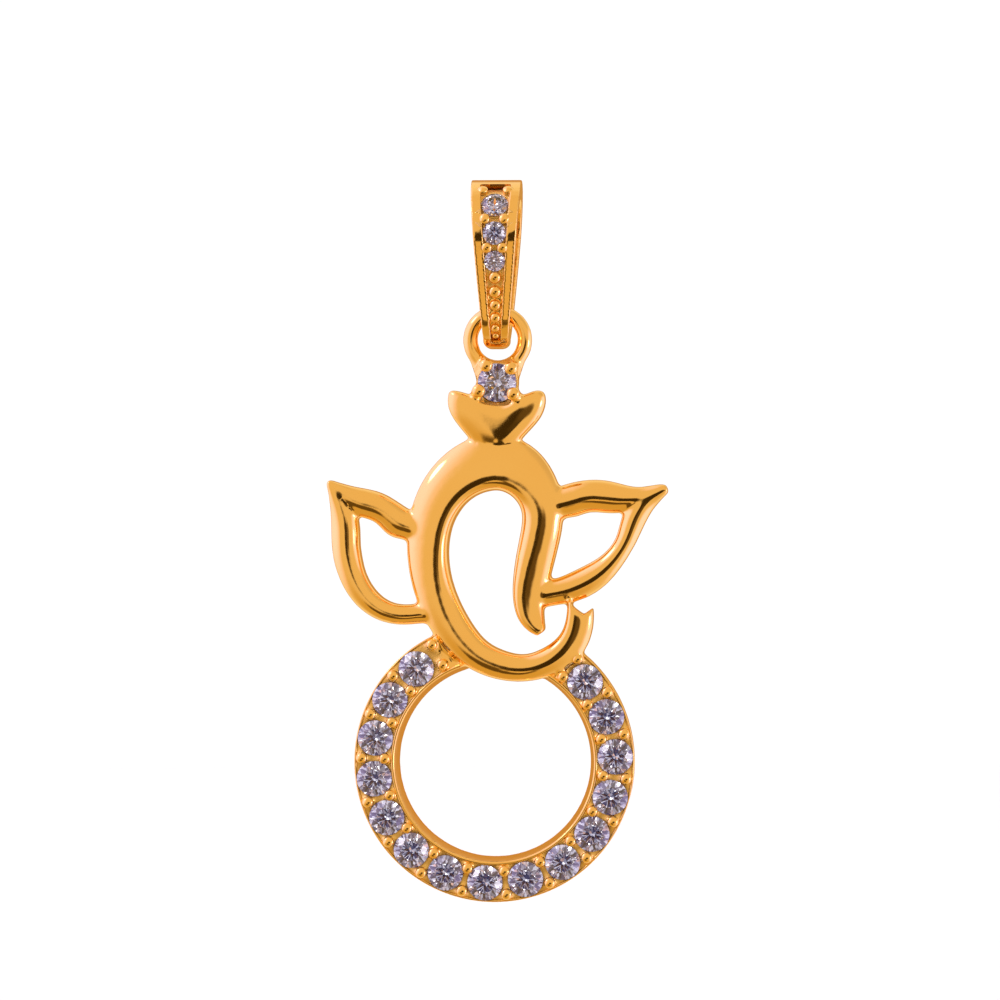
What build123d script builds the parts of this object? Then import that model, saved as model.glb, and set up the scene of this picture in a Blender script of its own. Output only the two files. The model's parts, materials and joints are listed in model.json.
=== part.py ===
from build123d import *
from collections import namedtuple
import math
import os

# Gold pendant with pave-set stones
#
# A drop of cast gold hangs from a tapered bail. The drop is an eye loop, a crown with one
# claw-set stone, an open head band with two pierced ears, and a round ring of bead-set stones
# below it. Millimetres. +Z is up and the front faces -Y. The origin is the inside top of the
# bail, where a chain would carry it.

# Bail: a strap loop, wide at the top and narrow at its foot
BAIL_HEIGHT = 7.05
BAIL_DEPTH = 4.4
BAIL_WALL = 0.75
BAIL_FOOT_RADIUS = 1.52
BAIL_FOOT_WALL = 0.82
BAIL_TOP_WIDTH = 2.1
BAIL_MIDDLE_WIDTH = 1.62
BAIL_LOW_WIDTH = 1.05
BAIL_CORNER_WIDTH = 0.9
BAIL_FOOT_WIDTH = 0.46
BAIL_CORNER_RISE = 0.11
CHANNEL_DEPTH = 0.24
CHANNEL_TOP_WIDTH = 1.25
CHANNEL_FOOT_WIDTH = 0.36
CHANNEL_END_MARGIN = 0.24
BAIL_STONES = (1.1, 0.95, 0.85)
BAIL_STONE_INSET = 0.14
BAIL_STONE_GAP = 0.285
FIRST_STONE_TILT = 30.6
BAIL_BEAD = 0.42
BAIL_BEAD_SPREADS = (1.04, 0.8, 0.64)
BAIL_END_BEAD_SHIFT = 0.14
MILGRAIN = (0.5, 0.5, 0.43, 0.42, 0.34, 0.27)
MILGRAIN_GAP = 0.1

# Eye loop at the top of the drop
EYE_HOLE = 1.66
EYE_WIRE = 0.62
EYE_FOOT = 0.15
EYE_OFFSET = 0.03
SHOULDER_TOP = 0.58
SHOULDER_FOOT = 0.5
SHOULDER_INSET = 0.21

# Crown stone in its four claws
CROWN_STONE = 1.6
COLLET_WALL = 0.09
COLLET_BACK = 0.4
COLLET_FRONT = 0.5
CLAW = 0.5
CLAW_RISE = 0.2
CLAW_BACK = 0.13
CLAW_ANGLES = (45, 122, 205, 325)

# Crown behind the top of the head band
CROWN_WIDTH = 4.08
CROWN_HEIGHT = 2.08
CROWN_BACK = 0.45
CROWN_FRONT = 0.8
CROWN_RISE = 2.14
CROWN_SINK = 0.25

# Head band, from the forked end round to the tip of the hanging leg
HEAD_WIDTH = 6.5
HEAD_HEIGHT = 10.29
HEAD_BAND = 2.33
HEAD_OFFSET = -0.5
HEAD_BACK = 0.65
HEAD_FRONT = 1.0
FORK_NOTCH = 0.82

# Ears, one each side of the head band
LEFT_EAR_REACH = 3.29
LEFT_EAR_HEIGHT = 5.92
RIGHT_EAR_REACH = 4.375
RIGHT_EAR_HEIGHT = 5.125
EAR_BAND = 1.17
EAR_BACK = 0.55
EAR_FRONT = 0.78

# Ring of stones. The rises are how far the top edges of its first and last stones may stand above
# the foot of the head, and the margins are how far the plate runs on past those two stones
RING_STONE = 1.46
RING_RADIUS = 5.04
RING_STONE_GAP = 0.237
RING_FIRST_RISE = 0.73
RING_LAST_RISE = 1.35
RING_START_MARGIN = 1.55
RING_END_MARGIN = 1.93
RING_EDGE = 0.06
RING_BEVEL = 0.015
RING_RAIL = 0.12
RING_DRAFT = 0.2
RING_BACK = 0.6
RING_FRONT = 0.62
RING_FLOOR = 0.53
RING_OVERLAP = 2.5
RING_OFFSET = -0.09
RING_BEAD = 0.45
RING_BEAD_SPREAD = 0.95
RING_END_BEAD_SHIFT = 0.2

# Shares of the sizes that they follow
EYE_WIRE_FLAT_SHARE = 0.985
EYE_WIRE_ROUND_SHARE = 0.476
CROWN_MIDDLE_SHARE = 0.45
CROWN_VALLEY_SHARE = 0.16
LEFT_EAR_LIFT_SHARE = 0.231
RIGHT_EAR_LIFT_SHARE = 0.30
BAND_DOME_SHARE = 0.3
DOME_EDGE_SHARE = 0.93
DOME_SIDE_SHARE = 0.7
DOME_MIDDLE_WEIGHT = 0.375

# Round brilliant cut, as shares of the stone's diameter and facet angles in degrees
MAIN_FACETS = 8
TABLE_SHARE = 0.57
GIRDLE_SHARE = 0.03
CROWN_ANGLE = 34.5
STAR_ANGLE = 22.0
UPPER_HALF_ANGLE = 40.5
PAVILION_ANGLE = 40.75
LOWER_HALF_ANGLE = 42.0
SEAT_CLEARANCE = 0.02
SEAT_HOLE_SHARE = 0.55

Section = namedtuple("Section", "out up width crest", defaults=[0])
Corner = namedtuple("Corner", "out up dip")
Level = namedtuple("Level", "front size")
Point = namedtuple("Point", "out up")

# Head band: out as a share of its width from the middle, up as a share of its height from the
# foot, width as a share of the widest band, crest as how far the dome's highest line lies from
# the band's middle, as a share of the half width, positive to the left of the way it runs
HEAD_SECTIONS = [
    Section(0.612, 0.330, 0.47, -0.45),
    Section(0.612, 0.262, 0.48, -0.45),
    Section(0.590, 0.194, 0.51, -0.40),
    Section(0.526, 0.130, 0.53, -0.30),
    Section(0.410, 0.081, 0.51, -0.10),
    Section(0.263, 0.055, 0.475, 0.0),
    Section(0.109, 0.065, 0.51, 0.0),
    Section(-0.038, 0.105, 0.56, 0.0),
    Section(-0.163, 0.178, 0.64, 0.0),
    Section(-0.266, 0.279, 0.69, -0.05),
    Section(-0.337, 0.397, 0.705, -0.18),
    Section(-0.365, 0.518, 0.73, -0.33),
    Section(-0.349, 0.636, 0.77, -0.40),
    Section(-0.282, 0.745, 0.84, -0.45),
    Section(-0.154, 0.836, 0.93, -0.49),
    Section(0.032, 0.885, 1.00, -0.49),
    Section(0.205, 0.862, 0.955, -0.45),
    Section(0.317, 0.789, 0.83, -0.35),
    Section(0.369, 0.696, 0.74, -0.20),
    Section(0.359, 0.599, 0.71, -0.20),
    Section(0.327, 0.506, 0.69, -0.25),
    Section(0.298, 0.413, 0.64, -0.35),
    Section(0.283, 0.328, 0.55, -0.42),
    Section(0.302, 0.260, 0.45, -0.40),
    Section(0.336, 0.221, 0.31, -0.30),
    Section(0.366, 0.197, 0.16, -0.20),
]

# Ears: out as a share of the ear's reach from the side of the head, up as a share of its height
LEFT_TOP_ARM = [
    Section(-0.139, 0.635, 1.20),
    Section(0.063, 0.706, 1.14),
    Section(0.266, 0.788, 1.06),
    Section(0.468, 0.842, 1.04),
    Section(0.650, 0.872, 0.96),
    Section(0.815, 0.928, 0.62),
    Section(0.937, 0.979, 0.30),
    Section(0.994, 1.004, 0.16),
]
LEFT_SIDE_ARM = [
    Section(0.994, 1.004, 0.16),
    Section(0.943, 0.951, 0.32),
    Section(0.861, 0.859, 0.66),
    Section(0.797, 0.746, 0.93),
    Section(0.778, 0.606, 1.00),
    Section(0.753, 0.465, 0.98),
    Section(0.671, 0.317, 0.91),
    Section(0.513, 0.183, 0.84),
    Section(0.278, 0.092, 0.75),
    Section(0.013, 0.067, 0.71),
    Section(-0.266, 0.077, 0.71),
]
RIGHT_TOP_ARM = [
    Section(-0.105, 0.790, 1.20),
    Section(0.038, 0.857, 1.20),
    Section(0.190, 0.894, 1.17),
    Section(0.352, 0.902, 1.16),
    Section(0.514, 0.886, 1.08),
    Section(0.676, 0.884, 0.84),
    Section(0.822, 0.909, 0.66),
    Section(0.933, 0.953, 0.42),
    Section(0.994, 0.967, 0.28),
]
RIGHT_SIDE_ARM = [
    Section(0.994, 0.967, 0.28),
    Section(0.908, 0.928, 0.50),
    Section(0.800, 0.873, 0.78),
    Section(0.716, 0.784, 0.86),
    Section(0.655, 0.671, 0.82),
    Section(0.600, 0.545, 0.72),
    Section(0.524, 0.435, 0.72),
    Section(0.410, 0.325, 0.86),
    Section(0.257, 0.228, 1.03),
    Section(0.086, 0.159, 1.02),
    Section(-0.076, 0.122, 0.93),
    Section(-0.238, 0.089, 0.86),
]

# Crown outline: out as a share of its width from the middle, up as a share of its height,
# dip as the part of the front face's valley that reaches the corner
CROWN_TOP = [
    Corner(-0.480, 1.00, 0.0),
    Corner(-0.327, 0.95, 0.0),
    Corner(-0.184, 0.84, 0.6),
    Corner(0.020, 0.76, 1.0),
    Corner(0.168, 0.81, 0.6),
    Corner(0.245, 0.88, 0.2),
    Corner(0.357, 0.97, 0.0),
    Corner(0.440, 1.00, 0.0),
    Corner(0.500, 0.78, 0.0),
]
CROWN_FOOT = [
    Corner(0.500, 0.78, 0.0),
    Corner(0.440, 0.44, 0.0),
    Corner(0.337, 0.20, 0.0),
    Corner(0.000, -0.30, 0.0),
    Corner(-0.378, 0.26, 0.0),
    Corner(-0.470, 0.53, 0.0),
    Corner(-0.500, 0.74, 0.0),
    Corner(-0.480, 1.00, 0.0),
]

# Crown's rounded face: front as a share of its greatest front, size as a share of the outline
CROWN_LEVELS = [
    Level(0.50, 1.00),
    Level(0.68, 0.94),
    Level(0.84, 0.80),
    Level(0.95, 0.58),
    Level(1.00, 0.30),
]

# Fork notch: out as a share of the band's half width, up as a share of the notch's depth
NOTCH_POINTS = [
    Point(-0.62, 1.0),
    Point(-0.62, -0.3),
    Point(0.25, -0.74),
    Point(1.3, -0.22),
    Point(1.3, 1.0),
]

# Places that follow from the sizes above
arch_radius = BAIL_DEPTH / 2
arch_z = BAIL_WALL - arch_radius
hinge_z = BAIL_WALL - BAIL_HEIGHT + BAIL_FOOT_RADIUS
wall_lean = math.asin((arch_radius - BAIL_FOOT_RADIUS) / (arch_z - hinge_z))
arch_run = arch_radius * (math.pi / 2 + wall_lean)
wall_run = (arch_z - hinge_z) * math.cos(wall_lean)
eye_radius = (EYE_HOLE + EYE_WIRE) / 2
eye_z = hinge_z - eye_radius
crown_stone_z = eye_z - (EYE_HOLE + CROWN_STONE) / 2 - EYE_FOOT
head_top_z = crown_stone_z - CROWN_RISE
head_foot_z = head_top_z - HEAD_HEIGHT
crown_foot_z = head_top_z - CROWN_SINK
ring_outer = RING_RADIUS + RING_STONE / 2 + RING_EDGE
ring_inner = RING_RADIUS - RING_STONE / 2 - RING_RAIL
ring_z = head_foot_z + RING_OVERLAP - ring_outer
ring_pitch = 2 * math.degrees(math.asin((RING_STONE + RING_STONE_GAP) / 2 / RING_RADIUS))
first_out = head_foot_z + RING_FIRST_RISE - RING_STONE / 2 - ring_z
last_out = head_foot_z + RING_LAST_RISE - RING_STONE / 2 - ring_z
ring_first_angle = math.degrees(math.asin(first_out / RING_RADIUS))
ring_last_angle = 180 - math.degrees(math.asin(last_out / RING_RADIUS))
ring_start_angle = ring_first_angle + math.degrees(RING_START_MARGIN / RING_RADIUS)
ring_end_angle = ring_last_angle - math.degrees(RING_END_MARGIN / RING_RADIUS)
ring_count = int((ring_first_angle + 360 - ring_last_angle) / ring_pitch) + 1


def brilliant():
    """Round brilliant of diameter 1 on its girdle plane: a cylinder trimmed by 57 facets."""
    radius = 0.5
    girdle = GIRDLE_SHARE
    table = TABLE_SHARE * radius
    height = (radius - table) * math.tan(math.radians(CROWN_ANGLE))
    depth = radius * math.tan(math.radians(PAVILION_ANGLE))
    main = 360 / MAIN_FACETS
    near = radius * math.cos(math.radians(main / 4))
    star = table * math.cos(math.radians(main / 2))
    facets = []
    for turn in range(MAIN_FACETS):
        facets.append((main * turn, CROWN_ANGLE, radius, girdle))
        facets.append((main * (turn + 1 / 2), STAR_ANGLE, star, girdle + height))
        facets.append((main * turn, 180 - PAVILION_ANGLE, radius, 0))
    for turn in range(2 * MAIN_FACETS):
        facets.append((main / 2 * (turn + 1 / 2), UPPER_HALF_ANGLE, near, girdle))
        facets.append((main / 2 * (turn + 1 / 2), 180 - LOWER_HALF_ANGLE, near, 0))
    with BuildPart() as stone:
        with Locations((0, 0, -depth)):
            Cylinder(radius, depth + girdle + height, align=(Align.CENTER, Align.CENTER, Align.MIN))
        for azimuth, slope, out, level in facets:
            turn = math.radians(azimuth)
            lean = math.radians(slope)
            normal = (
                math.sin(lean) * math.cos(turn),
                math.sin(lean) * math.sin(turn),
                math.cos(lean),
            )
            point = (out * math.cos(turn), out * math.sin(turn), level)
            split(bisect_by=Plane(origin=point, z_dir=normal), keep=Keep.BOTTOM)
    return stone.part


def seat(diameter, back):
    """Cutter for a stone's seat: the stone's envelope and the open hole behind it."""
    radius = diameter / 2 + SEAT_CLEARANCE
    girdle = GIRDLE_SHARE * diameter + SEAT_CLEARANCE
    table = TABLE_SHARE * diameter / 2
    height = (radius - table) * math.tan(math.radians(CROWN_ANGLE))
    hole = SEAT_HOLE_SHARE * diameter / 2
    bevel = (radius - hole) * math.tan(math.radians(PAVILION_ANGLE))
    with BuildPart() as cutter:
        with BuildSketch(Plane.XZ):
            with BuildLine():
                Polyline(
                    (0, girdle + height),
                    (table, girdle + height),
                    (radius, girdle),
                    (radius, -SEAT_CLEARANCE),
                    (hole, -bevel - SEAT_CLEARANCE),
                    (hole, -back),
                    (0, -back),
                    close=True,
                )
            make_face()
        revolve(axis=Axis.Z)
    return cutter.part


def band(sections, side_x, foot_z, reach, height, width, back, front, crested=False):
    """Cast band with a flat back and a domed front, lofted through its sections.

    A crested dome has its highest line where the sections' crests say, and steeper edges.
    """
    centres = [Vector(side_x + row.out * reach, 0, foot_z + row.up * height) for row in sections]
    with BuildPart() as strip:
        for index, row in enumerate(sections):
            before = centres[max(index - 1, 0)]
            after = centres[min(index + 1, len(sections) - 1)]
            along = (after - before).normalized()
            half = row.width * width / 2
            dome = BAND_DOME_SHARE * 2 * half
            shoulder = front - dome
            edge = DOME_EDGE_SHARE * half
            side = shoulder + DOME_SIDE_SHARE * dome
            middle = shoulder + (1 - DOME_SIDE_SHARE / 2) * dome / DOME_MIDDLE_WEIGHT
            crest = row.crest * half / DOME_MIDDLE_WEIGHT
            across = Vector(-along.Z, 0, along.X)
            with BuildSketch(Plane(origin=centres[index], x_dir=across, z_dir=along)):
                with BuildLine():
                    Polyline((-half, shoulder), (-half, -back), (half, -back), (half, shoulder))
                    if crested:
                        Bezier((half, shoulder), (edge, side), (crest, middle),
                               (-edge, side), (-half, shoulder))
                    else:
                        ThreePointArc((half, shoulder), (0, front), (-half, shoulder))
                make_face()
        loft()
    return strip.part


def front_plane(run, inset):
    """Plane on the bail's front at a run from its top, its normal outwards, sunk by inset."""
    if run < arch_run:
        centre = arch_z
        radius = arch_radius
        angle = math.pi / 2 - run / arch_radius
        slide = 0
    elif run < arch_run + wall_run:
        centre = arch_z
        radius = arch_radius
        angle = -wall_lean
        slide = run - arch_run
    else:
        centre = hinge_z
        radius = BAIL_FOOT_RADIUS
        angle = -wall_lean - (run - arch_run - wall_run) / BAIL_FOOT_RADIUS
        slide = 0
    out = radius - inset
    origin = (
        0,
        -out * math.cos(angle) + slide * math.sin(wall_lean),
        centre + out * math.sin(angle) - slide * math.cos(wall_lean),
    )
    return Plane(origin=origin, x_dir=(1, 0, 0), z_dir=(0, -math.cos(angle), math.sin(angle)))


def loop_profile(upper, lower):
    """Side profile of the bail: an upper and a lower arc joined by straight walls."""
    lean = math.asin((upper - lower) / (arch_z - hinge_z))
    top = (upper * math.cos(lean), arch_z - upper * math.sin(lean))
    low = (lower * math.cos(lean), hinge_z - lower * math.sin(lean))
    with BuildSketch(Plane.YZ) as profile:
        with BuildLine():
            ThreePointArc(top, (0, arch_z + upper), (-top[0], top[1]))
            Line((-top[0], top[1]), (-low[0], low[1]))
            ThreePointArc((-low[0], low[1]), (0, hinge_z - lower), low)
            Line(low, top)
        make_face()
    return profile.sketch


# Cut stones, one of each size
cut_stone = brilliant()
ring_stone_shape = scale(cut_stone, by=RING_STONE)
crown_stone_shape = scale(cut_stone, by=CROWN_STONE)
bail_stone_shapes = [scale(cut_stone, by=size) for size in BAIL_STONES]

# Where the bail's stones and beads sit, as runs down its front from the top
bail_stone_runs = [arch_radius * math.radians(90 - FIRST_STONE_TILT)]
for upper, lower in zip(BAIL_STONES, BAIL_STONES[1:]):
    bail_stone_runs.append(bail_stone_runs[-1] + (upper + lower) / 2 + BAIL_STONE_GAP)
pair_runs = [bail_stone_runs[0] - (BAIL_STONES[0] + BAIL_STONE_GAP) / 2 - BAIL_END_BEAD_SHIFT]
for run, size in zip(bail_stone_runs, BAIL_STONES[:-1]):
    pair_runs.append(run + (size + BAIL_STONE_GAP) / 2)
milgrain_runs = [bail_stone_runs[-1] + (BAIL_STONES[-1] + MILGRAIN[0]) / 2]
for upper, lower in zip(MILGRAIN, MILGRAIN[1:]):
    milgrain_runs.append(milgrain_runs[-1] + (upper + lower) / 2 + MILGRAIN_GAP)
bail_foot_z = hinge_z - BAIL_FOOT_RADIUS
channel_top_z = BAIL_WALL - CHANNEL_END_MARGIN
channel_foot_z = bail_foot_z + CHANNEL_END_MARGIN

# Channel cutter along the bail's front
with BuildPart() as channel:
    proud = loop_profile(arch_radius + CHANNEL_DEPTH, BAIL_FOOT_RADIUS + CHANNEL_DEPTH)
    floor = loop_profile(arch_radius - CHANNEL_DEPTH, BAIL_FOOT_RADIUS - CHANNEL_DEPTH)
    extrude(proud, amount=CHANNEL_TOP_WIDTH, both=True)
    extrude(floor, amount=CHANNEL_TOP_WIDTH, both=True, mode=Mode.SUBTRACT)
    with BuildSketch(Plane.XZ):
        with BuildLine():
            Polyline(
                (-CHANNEL_TOP_WIDTH / 2, channel_top_z),
                (CHANNEL_TOP_WIDTH / 2, channel_top_z),
                (CHANNEL_FOOT_WIDTH / 2, channel_foot_z),
                (-CHANNEL_FOOT_WIDTH / 2, channel_foot_z),
                close=True,
            )
        make_face()
    extrude(amount=BAIL_DEPTH, mode=Mode.INTERSECT)

# Bail: a looped strap trimmed to its tapering front outline
with BuildPart() as bail:
    outside = loop_profile(arch_radius, BAIL_FOOT_RADIUS)
    inside = loop_profile(arch_radius - BAIL_WALL, BAIL_FOOT_RADIUS - BAIL_FOOT_WALL)
    extrude(outside, amount=BAIL_TOP_WIDTH, both=True)
    extrude(inside, amount=BAIL_TOP_WIDTH, both=True, mode=Mode.SUBTRACT)
    with BuildSketch(Plane.XZ):
        with BuildLine():
            middle_z = (BAIL_WALL + bail_foot_z) / 2
            low_z = bail_foot_z + BAIL_FOOT_WALL / 2
            ThreePointArc(
                (BAIL_TOP_WIDTH / 2, BAIL_WALL),
                (BAIL_MIDDLE_WIDTH / 2, middle_z),
                (BAIL_LOW_WIDTH / 2, low_z),
            )
            ThreePointArc(
                (BAIL_LOW_WIDTH / 2, low_z),
                (BAIL_CORNER_WIDTH / 2, bail_foot_z + BAIL_CORNER_RISE),
                (BAIL_FOOT_WIDTH / 2, bail_foot_z),
            )
            Line((BAIL_FOOT_WIDTH / 2, bail_foot_z), (0, bail_foot_z))
            Line((0, bail_foot_z), (0, BAIL_WALL))
            Line((0, BAIL_WALL), (BAIL_TOP_WIDTH / 2, BAIL_WALL))
        make_face()
        mirror(about=Plane.YZ)
    extrude(amount=BAIL_DEPTH, both=True, mode=Mode.INTERSECT)
    add(channel.part, mode=Mode.SUBTRACT)
    beads = []
    for run, spread in zip(pair_runs, BAIL_BEAD_SPREADS):
        for side in (-1, 1):
            place = front_plane(run, BAIL_STONE_INSET)
            spot = place.from_local_coords((side * spread / 2, 0, 0))
            beads.append(Sphere(BAIL_BEAD / 2, mode=Mode.PRIVATE).moved(Location(spot)))
    for run, size in zip(milgrain_runs, MILGRAIN):
        spot = front_plane(run, BAIL_STONE_INSET).origin
        beads.append(Sphere(size / 2, mode=Mode.PRIVATE).moved(Location(spot)))
    add(beads)
    seats = []
    for run, size in zip(bail_stone_runs, BAIL_STONES):
        place = front_plane(run, BAIL_STONE_INSET)
        seats.append(seat(size, BAIL_WALL + SEAT_CLEARANCE).moved(place.location))
    add(seats, mode=Mode.SUBTRACT)

# Eye loop with two shoulders that run down into the collet
with BuildPart() as eye:
    with BuildSketch(Plane.YZ.offset(EYE_OFFSET)):
        with Locations((0, eye_z + eye_radius)):
            RectangleRounded(
                EYE_WIRE_FLAT_SHARE * EYE_WIRE,
                EYE_WIRE,
                EYE_WIRE_ROUND_SHARE * EYE_WIRE,
            )
    revolve(axis=Axis((EYE_OFFSET, 0, eye_z), (0, 1, 0)))

with BuildPart() as shoulders:
    for side in (-1, 1):
        top = Vector(EYE_OFFSET + side * eye_radius, 0, eye_z)
        foot_out = CROWN_STONE / 2 - SHOULDER_INSET
        foot = Vector(EYE_OFFSET + side * foot_out, 0, crown_stone_z)
        with BuildSketch(Plane(origin=top, x_dir=(0, 1, 0), z_dir=foot - top)) as wide:
            Circle(SHOULDER_TOP / 2)
        with BuildSketch(Plane(origin=foot, x_dir=(0, 1, 0), z_dir=foot - top)) as narrow:
            Circle(SHOULDER_FOOT / 2)
        loft([wide.sketch, narrow.sketch])

# Collet and claws of the crown stone
stone_plane = Plane(origin=(EYE_OFFSET, -COLLET_FRONT, crown_stone_z),
                    x_dir=(1, 0, 0), z_dir=(0, -1, 0))
collet_radius = CROWN_STONE / 2 + COLLET_WALL
with BuildPart() as collet:
    with BuildSketch(stone_plane):
        Circle(collet_radius)
    extrude(amount=-(COLLET_FRONT + COLLET_BACK))
    for angle in CLAW_ANGLES:
        out = (collet_radius + SEAT_CLEARANCE) * math.cos(math.radians(angle))
        up = (collet_radius + SEAT_CLEARANCE) * math.sin(math.radians(angle))
        spot = stone_plane.from_local_coords((out, up, CLAW_RISE))
        with BuildSketch(Plane(origin=spot, x_dir=(1, 0, 0), z_dir=(0, -1, 0))):
            Circle(CLAW / 2)
        extrude(amount=-(CLAW_RISE + COLLET_FRONT + CLAW_BACK))
        with Locations(spot):
            Sphere(CLAW / 2)


def crown_point(corner, share, valley):
    """Place of one corner of the crown outline, drawn smaller about its middle by share."""
    up = CROWN_MIDDLE_SHARE + (corner.up - corner.dip * valley - CROWN_MIDDLE_SHARE) * share
    return (corner.out * share * CROWN_WIDTH, crown_foot_z + up * CROWN_HEIGHT)


def crown_outline(depth, share, valley):
    """Crown outline as a face, depth in front of the middle plane and smaller by share."""
    with BuildSketch(Plane.XZ.offset(depth)) as outline:
        with BuildLine():
            Spline([crown_point(corner, share, valley) for corner in CROWN_TOP])
            Spline([crown_point(corner, share, valley) for corner in CROWN_FOOT])
        make_face()
    return outline.sketch


# Crown: a plate with a rounded face whose top dips below the stone
with BuildPart() as crown:
    extrude(crown_outline(-CROWN_BACK, 1, 0),
            amount=CROWN_BACK + CROWN_LEVELS[0].front * CROWN_FRONT)
    loft([crown_outline(row.front * CROWN_FRONT, row.size, (1 - row.size) * CROWN_VALLEY_SHARE)
          for row in CROWN_LEVELS])

# Head band, its forked end still whole
head = band(HEAD_SECTIONS, HEAD_OFFSET, head_foot_z, HEAD_WIDTH, HEAD_HEIGHT,
            HEAD_BAND, HEAD_BACK, HEAD_FRONT, crested=True)

# Ears, each of two arms that meet at its tip
left_x = HEAD_OFFSET - HEAD_WIDTH / 2
right_x = HEAD_OFFSET + HEAD_WIDTH / 2
left_foot_z = head_foot_z + LEFT_EAR_LIFT_SHARE * HEAD_HEIGHT
right_foot_z = head_foot_z + RIGHT_EAR_LIFT_SHARE * HEAD_HEIGHT
ears = [
    band(LEFT_TOP_ARM, left_x, left_foot_z, -LEFT_EAR_REACH, LEFT_EAR_HEIGHT,
         EAR_BAND, EAR_BACK, EAR_FRONT),
    band(LEFT_SIDE_ARM, left_x, left_foot_z, -LEFT_EAR_REACH, LEFT_EAR_HEIGHT,
         EAR_BAND, EAR_BACK, EAR_FRONT),
    band(RIGHT_TOP_ARM, right_x, right_foot_z, RIGHT_EAR_REACH, RIGHT_EAR_HEIGHT,
         EAR_BAND, EAR_BACK, EAR_FRONT),
    band(RIGHT_SIDE_ARM, right_x, right_foot_z, RIGHT_EAR_REACH, RIGHT_EAR_HEIGHT,
         EAR_BAND, EAR_BACK, EAR_FRONT),
]


def ring_plane(angle, out):
    """Plane on the ring's front at an angle and a radius, its normal to the front."""
    turn = math.radians(angle)
    spot = (RING_OFFSET + out * math.cos(turn), -RING_FRONT, ring_z + out * math.sin(turn))
    along = (math.cos(turn), 0, math.sin(turn))
    return Plane(origin=spot, x_dir=along, z_dir=(0, -1, 0))


ring_angles = [ring_first_angle - index * ring_pitch for index in range(ring_count)]
gap_angles = [ring_angles[0] + ring_pitch / 2] + [angle - ring_pitch / 2 for angle in ring_angles]
gap_angles[-1] -= math.degrees(RING_END_BEAD_SHIFT / RING_RADIUS)
ring_seat = seat(RING_STONE, RING_FRONT + RING_BACK + SEAT_CLEARANCE)

# Ring plate with bead prongs and stone seats, open at the top where the head band closes it
with BuildPart() as ring:
    start = math.radians(ring_start_angle)
    with BuildSketch(Plane(origin=(RING_OFFSET, 0, ring_z),
                           x_dir=(math.cos(start), 0, math.sin(start)),
                           z_dir=(-math.sin(start), 0, math.cos(start)))):
        with BuildLine():
            Polyline(
                (ring_inner - RING_DRAFT, RING_BACK),
                (ring_inner - RING_DRAFT, RING_BACK / 2),
                (ring_inner, -RING_FRONT),
                (ring_inner + RING_RAIL, -RING_FRONT),
                (ring_inner + RING_RAIL, -RING_FLOOR),
                (ring_outer - RING_BEVEL, -RING_FLOOR),
                (ring_outer, -RING_FLOOR / 2),
                (ring_outer, RING_BACK),
                close=True,
            )
        make_face()
    sweep_angle = ring_start_angle + 360 - ring_end_angle
    revolve(axis=Axis((RING_OFFSET, 0, ring_z), (0, 1, 0)), revolution_arc=sweep_angle)
    prongs = []
    for angle in gap_angles:
        for side in (-1, 1):
            spot = ring_plane(angle, RING_RADIUS + side * RING_BEAD_SPREAD / 2).origin
            prongs.append(Sphere(RING_BEAD / 2, mode=Mode.PRIVATE).moved(Location(spot)))
    add(prongs)
    seats = [ring_seat.moved(ring_plane(angle, RING_RADIUS).location) for angle in ring_angles]
    add(seats, mode=Mode.SUBTRACT)

# Fork notch, cut into the band's end so that a thin bridge is left to the right ear
fork_x = HEAD_OFFSET + HEAD_SECTIONS[0].out * HEAD_WIDTH
fork_z = head_foot_z + HEAD_SECTIONS[0].up * HEAD_HEIGHT
fork_half = HEAD_SECTIONS[0].width * HEAD_BAND / 2
with BuildPart() as notch:
    with BuildSketch(Plane.XZ):
        with BuildLine():
            Polyline(
                [(fork_x + row.out * fork_half, fork_z + row.up * FORK_NOTCH)
                 for row in NOTCH_POINTS],
                close=True,
            )
        make_face()
    extrude(amount=HEAD_FRONT + HEAD_BACK, both=True)

# Drop: all cast and soldered together
crown_seat = seat(CROWN_STONE, COLLET_FRONT + COLLET_BACK + SEAT_CLEARANCE)
with BuildPart() as drop:
    add(head)
    add(notch.part, mode=Mode.SUBTRACT)
    for ear in ears:
        add(ear)
    add(crown.part)
    add(collet.part)
    add(eye.part)
    add(shoulders.part)
    add(crown_seat.moved(stone_plane.location), mode=Mode.SUBTRACT)
    add(ring.part)


def save(shape, name):
    """Label one piece and write it as parts/name.step."""
    shape.label = name
    export_step(shape, f"parts/{name}.step")


os.makedirs("parts", exist_ok=True)
save(bail.part, "bail")
save(drop.part, "drop")
for index, angle in enumerate(ring_angles):
    place = ring_plane(angle, RING_RADIUS).location
    save(ring_stone_shape.moved(place), f"ring_stone_{index + 1:02d}")
save(crown_stone_shape.moved(stone_plane.location), "crown_stone")
for index, (run, shape) in enumerate(zip(bail_stone_runs, bail_stone_shapes)):
    save(shape.moved(front_plane(run, BAIL_STONE_INSET).location), f"bail_stone_{index + 1}")
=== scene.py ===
"""Looks of the gold pendant: cast gold, bead-set stones, soft studio light and a pale floor.

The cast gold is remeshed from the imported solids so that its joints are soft, and the stones' seats
are cut in it again. Beads, claws, grains and rails are added over it.
"""

import json
import logging
import math
from dataclasses import dataclass
from enum import Enum
from typing import Any, Callable, Iterable, Union

import bpy
from mathutils import Matrix, Vector

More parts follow.
